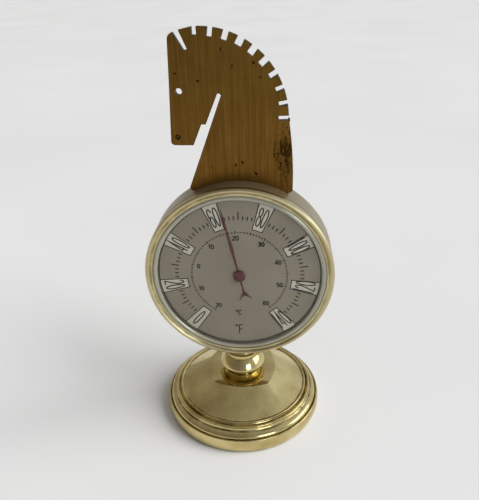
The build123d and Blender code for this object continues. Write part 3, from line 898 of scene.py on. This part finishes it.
def print_lines(name, strokes, width, mat):
    """Draw pen strokes as thin raised print: each is a low wall given its width."""
    bm = bmesh.new()
    for points in strokes:
        closed = max(abs(points[0][0] - points[-1][0]), abs(points[0][1] - points[-1][1])) < 1e-6
        verts, edges = chain(bm, points[:-1] if closed else points, closed)
        bmesh.ops.translate(bm, verts=verts, vec=(0, 0, DIAL_FACE))
        made = bmesh.ops.extrude_edge_only(bm, edges=edges)
        top = [v for v in made["geom"] if isinstance(v, bmesh.types.BMVert)]
        bmesh.ops.translate(bm, verts=top, vec=(0, 0, sizes().ink / MM))
    obj = piece(name, bm, CASE, mat)
    wall = obj.modifiers.new("Pen Width", "SOLIDIFY")
    wall.thickness = width * MM
    wall.offset = 0.0
    wall.use_even_offset = True
    wall.thickness_clamp = 0.0
    return obj


DEGREE = 2.0            # degrees of arc to the degree Fahrenheit
TOP_READING = 70        # the reading at the top of the dial
SCALE_R = 30.0          # the printed circle
PANEL_INNER_R = 19.5
PANEL_HALF = 5.4        # half a panel's width in degrees
PANEL_READINGS = range(0, 141, 20)
TICK_R = 22.6           # inner ends of the Fahrenheit ticks
TICK, LONG_TICK = 1.4, 3.0
CELSIUS_R = 17.7        # middles of the Celsius dots and marks
DOT, MARK = 0.56, 1.0
TALL_R = 24.8           # middles of the tall figures
SMALL_R = 15.45         # middles of the small figures
PEN, BROAD_PEN = 0.42, 0.46


def fahrenheit(reading):
    return DEGREE * (reading - TOP_READING)


def celsius(reading):
    return fahrenheit(reading * 9 / 5 + 32)


class THERMO_OT_panels(Build, Operator):
    """Print the pale panels behind the large figures"""
    bl_idname = "thermo.panels"
    bl_label = "Panels"

    def execute(self, context):
        bm = bmesh.new()
        for reading in PANEL_READINGS:
            middle = fahrenheit(reading)
            turns = [middle + PANEL_HALF * s / 3 for s in range(-3, 4)]
            edge = [polar(SCALE_R, a) for a in turns] + [polar(PANEL_INNER_R, a) for a in reversed(turns)]
            edges = chain(bm, edge, True)[1]
            fill(bm, edges)
        raised(bm, DIAL_FACE, DIAL_FACE + sizes().ink / MM * 0.4)
        pale = dial_paint("Panel Paint", finish("window"), 0.5, 0.2)
        piece("figure_panels", bm, CASE, pale, crease=20)
        return {"FINISHED"}


class THERMO_OT_scale_lines(Build, Operator):
    """Print the circle, the panel outlines and the ticks of both scales"""
    bl_idname = "thermo.scale_lines"
    bl_label = "Scale Lines"

    def execute(self, context):
        black = ink("Ink")
        circle = [polar(SCALE_R, a) for a in range(0, 360, 2)]
        print_lines("scale_circle", [circle + circle[:1]], sizes().line / MM, black)
        boxes = []
        for reading in PANEL_READINGS:
            a = fahrenheit(reading)
            turns = [a + PANEL_HALF * s / 3 for s in range(-3, 4)]
            inner = [polar(PANEL_INNER_R, t) for t in turns]
            boxes.append([polar(SCALE_R, turns[0])] + inner + [polar(SCALE_R, turns[-1])])
        print_lines("panel_outlines", boxes, sizes().line / MM, black)
        ticks = []
        for reading in range(2, 140, 2):
            near_panel = min(reading % 20, 20 - reading % 20)
            if near_panel > 3:
                outer = TICK_R + (TICK if reading % 10 else LONG_TICK)
                ticks.append([polar(TICK_R, fahrenheit(reading)), polar(outer, fahrenheit(reading))])
        print_lines("fahrenheit_ticks", ticks, PEN, black)
        dots, marks = [], []
        for reading in range(-20, 61):
            a = celsius(reading)
            made, long = (dots, DOT) if reading % 5 else (marks, MARK)
            made.append([polar(CELSIUS_R - long / 2, a), polar(CELSIUS_R + long / 2, a)])
        print_lines("celsius_dots", dots, BROAD_PEN, black)
        print_lines("celsius_marks", marks, PEN, black)
        return {"FINISHED"}


class THERMO_OT_figures(Build, Operator):
    """Print the tall Fahrenheit figures, the small Celsius figures and the two unit signs"""
    bl_idname = "thermo.figures"
    bl_label = "Figures"

    def execute(self, context):
        black = ink("Ink")
        tall = []
        for reading in PANEL_READINGS:
            a = fahrenheit(reading)
            turned_over = abs(a) > 90
            for stroke in write(str(reading), 3.3, 1.1, 7.2):
                points = [(-x, -y) if turned_over else (x, y) for x, y in stroke]
                tall.append([polar(TALL_R + y, a + x) for x, y in points])
        print_lines("fahrenheit_figures", tall, BROAD_PEN, black)
        small = []
        for reading in range(-20, 61, 10):
            x0, y0 = polar(SMALL_R, celsius(reading))
            text = str(abs(reading))
            small += [[(x0 + x, y0 + y) for x, y in line] for line in write(text, 0.85, 0.36, 1.6)]
        print_lines("celsius_figures", small, PEN, black)
        signs = []
        for text, at, wide, high in (("o", (-1.25, -15.55), 0.5, 0.5), ("C", (0.0, -16.25), 1.15, 2.0),
                                     ("o", (-1.45, -22.3), 0.6, 0.6), ("F", (0.25, -24.1), 1.4, 4.2)):
            signs += [[(at[0] + x, at[1] + y) for x, y in line] for line in write(text, wide, 0.0, high)]
        print_lines("unit_signs", signs, PEN, black)
        return {"FINISHED"}


class THERMO_OT_pointer(Build, Operator):
    """Turn the pointer's boss and give the pointer its enamel"""
    bl_idname = "thermo.pointer"
    bl_label = "Pointer"

    def execute(self, context):
        red = red_enamel("Pointer Enamel", finish("pointer"))
        rear, front = -HUB_HIGH.y, -HUB_LOW.y
        wide = 2.2
        rim = rear + 0.35
        face = front - 0.3
        section = outline(
            (0.0, rear + 0.02),
            (1.0, rear + 0.02),
            (1.0, rim),
            (wide, rim),
            ((wide - 0.12, face - 0.1), (wide - 0.5, face)),
            (1.0, face),
            ((0.52, front - 0.07), (0.0, front)),
            count=8,
        )
        section = [(0.0, y) if x < 1e-6 else (x, y) for x, y in section]
        bm = lathe(section, closed=False, steps=64, edge=0.04)
        piece("pointer_boss", bm, CASE, red, body=POINTER, replaces=("pointer_hub",))
        dress(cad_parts["pointer"], red)
        return {"FINISHED"}


class THERMO_OT_horse(Build, Operator):
    """Saw the horse's head from sheet brass: ear, forehead, jaw, throat slit and a mane of saw cuts"""
    bl_idname = "thermo.horse"
    bl_label = "Horse's Head"

    def execute(self, context):
        left, right = -15.7, 17.2
        seat_left = sqrt(DRUM_R ** 2 - left ** 2) - DRUM_R
        seat_right = sqrt(DRUM_R ** 2 - right ** 2) - DRUM_R
        mane_x, mane_high, mane_r = -12.0, 21.25, 29.2
        first, pitch = 92.2, 10.1
        # the width and depth of each saw cut, from the forehead to the neck
        cuts = ((1.5, 2.5), (1.7, 2.9), (1.9, 2.9), (2.3, 2.7), (2.2, 2.8),
                (2.1, 2.9), (1.8, 2.7), (1.6, 2.7), (1.6, 2.9), (1.6, 3.4))
        last = len(cuts) - 1
        mane = []  # radius, angle and offset sideways, from the neck up to the forehead
        before = 0.4
        for i, (width, depth) in reversed(list(enumerate(cuts))):
            turn = first - pitch * i
            half = asin(width / 2 / mane_r) * 180 / pi
            middle = (before + turn - half) / 2
            mane += [(mane_r, before, 0), (mane_r, middle, 0)] if i < last else []
            for step in range(1, 6) if i == last else ():
                mane.append((mane_r, before + (turn - half - before) * step / 6, 0))
            reach = mane_r * cos(radians(half))
            mane += [(reach, turn, -width / 2), (mane_r - depth, turn, -width / 2)]
            mane += [(mane_r - depth, turn, width / 2), (reach, turn, width / 2)]
            before = turn + half
        crest = []
        for reach, turn, off in mane:
            c, s = cos(radians(turn)), sin(radians(turn))
            spot = (mane_x + reach * c - off * s, mane_high + reach * s + off * c)
            if not crest or (Vector(spot) - Vector(crest[-1])).length > 0.02:
                crest.append(spot)
        head = outline(
            (-20.0, 48.85),
            ((-21.3, 47.95), (-21.7, 46.45)),
            (-22.1, 32.85),
            (-22.8, 14.35),
            ((-22.45, 13.2), (-21.35, 12.75)),
            (-15.2, 12.75),
            (-12.2, 19.85),
            (-10.7, 19.85),
            (-6.7, 29.35),
            ((-5.85, 30.0), (-5.25, 29.25)),
            (left - 1.5, seat_left + 1.4),
            ((left - 1.4, seat_left + 0.5), (left - 0.9, seat_left)),
            (left, seat_left),
            count=6,
        )
        head += arc(head[-1], (0, 0), (right, seat_right), 24)
        neck = [(right + 1.0, seat_right + 0.2), (right + 1.8, seat_right + 1.0)]
        neck += arc(neck[-1], (right + 1.35, 10.75), (mane_x + mane_r, mane_high + 0.2), 12)
        shape = head + neck[:-1] + crest + [(-18.0, 49.5), (-15.4, 43.65), (-16.7, 43.4)]
        eye = oval(-19.1, 30.65, 1.15, 1.15, count=32)[:-1]
        bm = bmesh.new()
        half = (PLATE_HIGH.y - PLATE_LOW.y) / 2
        fill(bm, chain(bm, shape, True)[1] + chain(bm, eye, True)[1])
        raised(bm, -half, half)
        soften(bm, sizes().plate_edge / MM, 35)
        press(bm, -20.4, 15.55, 0.8, 0.45, half)
        rim = bm.verts.layers.float.new("rim")
        caps = [f for f in bm.faces if abs(f.normal.z) > 0.99 and abs(f.calc_center_median().z) > half - 0.01]
        bmesh.ops.inset_region(bm, faces=caps, thickness=0.4, use_boundary=True, use_even_offset=False)
        for vert in bm.verts:
            vert[rim] = float(any(abs(f.normal.z) < 0.9 for f in vert.link_faces))
        up = Matrix.Translation((0, 0, DRUM_TOP * MM))
        place = up @ Matrix.Rotation(pi / 2, 4, "X") @ Matrix.Scale(MM, 4)
        old = aged_brass("Aged Brass", finish("plate"))
        piece("horse_head", bm, place, old, replaces=("horse_plate",), crease=15)
        return {"FINISHED"}


def press(bm, x, y, reach, deep, face):
    """Press a round dimple into a plate's front."""
    front = [f for f in bm.faces if f.normal.z > 0.99 and f.calc_center_median().z > face - 0.01]
    rings = [(reach * share, -deep * (1 - share ** 2)) for share in (1.0, 0.8, 0.6, 0.4, 0.2)]
    loop, edges = chain(bm, oval(x, y, reach, reach)[:-1], True)
    bmesh.ops.translate(bm, verts=loop, vec=(0, 0, face))
    border = [e for e in bm.edges if e.is_manifold and sum(f in front for f in e.link_faces) == 1]
    bmesh.ops.delete(bm, geom=front, context="FACES_KEEP_BOUNDARY")
    fill(bm, border + edges)
    inner = edges
    for wide, low in rings[1:]:
        made = bmesh.ops.extrude_edge_only(bm, edges=inner)["geom"]
        inner = [g for g in made if isinstance(g, bmesh.types.BMEdge)]
        verts = [g for g in made if isinstance(g, bmesh.types.BMVert)]
        for vert in verts:
            away = (vert.co.xy - Vector((x, y))).normalized() * wide
            vert.co = (x + away.x, y + away.y, face + low)
    bmesh.ops.contextual_create(bm, geom=inner)
    bmesh.ops.recalc_face_normals(bm, faces=bm.faces)


def dress(obj, mat):
    """Give a carried-over part its finish, leaving its mesh alone."""
    for slot in obj.material_slots:
        slot.material = mat


class THERMO_OT_inner_parts(Build, Operator):
    """Give the movement, the dial plate, the fixings and the foot's filling their finishes"""
    bl_idname = "thermo.inner_parts"
    bl_label = "Inner Parts"

    def execute(self, context):
        brass, bright = small_brass(), steel("Machined Steel")
        finishes = {
            "dial_plate": dial_paint("Dial Paint", finish("dial")),
            "base_weight": rough_iron("Cast Iron"),
            "felt_pad": felt("Baize"),
            "bimetal_coil": steel("Bimetal Strip", (0.52, 0.46, 0.36), 0.26),
            "plate_pins": aged_brass("Aged Brass", finish("plate")),
            "seat_ring": case_brass(),
        }
        for name in ("base_washer", "stud_nuts", "stem_stud", "back_screws", "bridge_screws", "arbor"):
            finishes[name] = bright
        for name in ("case_saddle", "dial_pillars", "movement_bridge", "bridge_posts", "front_bush",
                     "rear_bush", "coil_collet", "coil_anchor"):
            finishes[name] = brass
        for name, mat in finishes.items():
            dress(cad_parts[name], mat)
        return {"FINISHED"}


# ---- stage ------------------------------------------------------------------------------
EYE = Vector((0.01406, -0.17977, 0.16468))
AIM = Vector((-0.00028, 0.0, 0.07178))
ROLL = radians(-1.28)
LENS = 38.74


def lamp(name, at, toward, width, height, power, color):
    """A soft rectangular light in metres, turned toward a point."""
    data = bpy.data.lights.new(name, "AREA")
    data.shape = "RECTANGLE"
    data.size, data.size_y = width, height
    data.energy = power
    data.color = color
    obj = bpy.data.objects.new(name, data)
    obj.location = at
    obj.rotation_mode = "QUATERNION"
    obj.rotation_quaternion = (Vector(toward) - Vector(at)).to_track_quat("-Z", "Y")
    bpy.context.scene.collection.objects.link(obj)
    return obj


def room(scene):
    """A dim warm room that is bright and cool towards its window, on the right and a little behind."""
    world = bpy.data.worlds.new("Room")
    scene.world = world
    world.use_nodes = True
    t = Tree(world.node_tree)
    across, back, _ = t.parts(t.node("ShaderNodeTexCoord").outputs["Generated"])
    light = t.mix(t.remap(across, -0.3, 0.7), (0.33, 0.31, 0.28), (0.70, 0.74, 0.80))
    light = t.mix(t.remap(back, -0.7, 0.2, 0.5, 0.0), light, (0.10, 0.095, 0.09))
    seen = t.node("ShaderNodeLightPath").outputs["Is Camera Ray"]
    t.feed(world.node_tree.nodes["Background"], "Color", t.mix(seen, light, (0.82, 0.82, 0.82)))


class THERMO_OT_stage(Build, Operator):
    """Lay a plain pale floor, light it softly and set the camera"""
    bl_idname = "thermo.stage"
    bl_label = "Stage"

    def execute(self, context):
        bm = bmesh.new()
        bmesh.ops.create_grid(bm, x_segments=2, y_segments=2, size=14.0)
        mesh = bpy.data.meshes.new("floor")
        bm.to_mesh(mesh)
        bm.free()
        floor = bpy.data.objects.new("floor", mesh)
        context.scene.collection.objects.link(floor)

        def draw(t):
            soft = t.noise(t.coordinates(), 0.004, 2.0)
            return {"Base_Color": t.mix(t.remap(soft, 0.3, 0.7), (0.78, 0.78, 0.78), (0.82, 0.82, 0.82)),
                    "Roughness": t.remap(soft, 0.3, 0.7, 0.7, 0.8)}
        mesh.materials.append(material("Pale Floor", draw))

        room(context.scene)
        window = lamp("window", (0.8, 0.02, 0.3), (0, 0, 0.08), 0.55, 0.4, 2.0, (0.86, 0.95, 1.0))
        window.visible_diffuse = False
        pane = lamp("pane", (0.46, -0.68, 0.2), (0, 0, 0.09), 0.3, 0.22, 1.3, (0.80, 0.90, 1.0))
        pane.visible_diffuse = False
        sun = bpy.data.lights.new("overhead", "SUN")
        sun.energy = 3.0
        sun.angle = radians(50)
        sun.color = (1.0, 0.995, 0.985)
        sky = bpy.data.objects.new("overhead", sun)
        sky.rotation_mode = "QUATERNION"
        sky.rotation_quaternion = Vector((-0.8, 0.12, -0.62)).to_track_quat("-Z", "Y")
        sky.visible_glossy = False
        context.scene.collection.objects.link(sky)

        camera_data = bpy.data.cameras.new("camera")
        camera_data.lens = LENS
        camera_data.sensor_width = 36
        camera_data.clip_start = 0.01
        camera = bpy.data.objects.new("camera", camera_data)
        context.scene.collection.objects.link(camera)
        look = (AIM - EYE).normalized()
        right = look.cross(Vector((0, 0, 1))).normalized()
        up = right.cross(look)
        across = cos(ROLL) * right + sin(ROLL) * up
        above = cos(ROLL) * up - sin(ROLL) * right
        camera.matrix_world = Matrix.Translation(EYE) @ Matrix((across, above, -look)).transposed().to_4x4()
        context.scene.camera = camera
        context.scene.view_settings.view_transform = "Standard"
        return {"FINISHED"}


class THERMO_PT_panel(Panel):
    """Lists the pieces in the order they are made"""
    bl_idname = "THERMO_PT_panel"
    bl_label = "Thermometer"
    bl_space_type = "VIEW_3D"
    bl_region_type = "UI"
    bl_category = "Thermometer"

    def draw(self, context):
        for settings in (context.scene.thermometer_sizes, context.scene.thermometer_finish):
            box = self.layout.box()
            for key in settings.__annotations__:
                box.prop(settings, key)
        for operator in OPERATORS:
            self.layout.operator(operator.bl_idname)


OPERATORS = (
    THERMO_OT_foot,
    THERMO_OT_stem,
    THERMO_OT_case,
    THERMO_OT_bezel,
    THERMO_OT_crystal,
    THERMO_OT_panels,
    THERMO_OT_scale_lines,
    THERMO_OT_figures,
    THERMO_OT_pointer,
    THERMO_OT_horse,
    THERMO_OT_inner_parts,
    THERMO_OT_stage,
)
CLASSES = (ThermometerSizes, ThermometerFinish, *OPERATORS, THERMO_PT_panel)


def register():
    for cls in CLASSES:
        bpy.utils.register_class(cls)
    bpy.types.Scene.thermometer_sizes = PointerProperty(type=ThermometerSizes)
    bpy.types.Scene.thermometer_finish = PointerProperty(type=ThermometerFinish)


def unregister():
    del bpy.types.Scene.thermometer_sizes
    del bpy.types.Scene.thermometer_finish
    for cls in reversed(CLASSES):
        bpy.utils.unregister_class(cls)


def main():
    register()
    for operator in OPERATORS:
        category, name = operator.bl_idname.split(".")
        getattr(getattr(bpy.ops, category), name)()


if __name__ == "__main__":
    main()
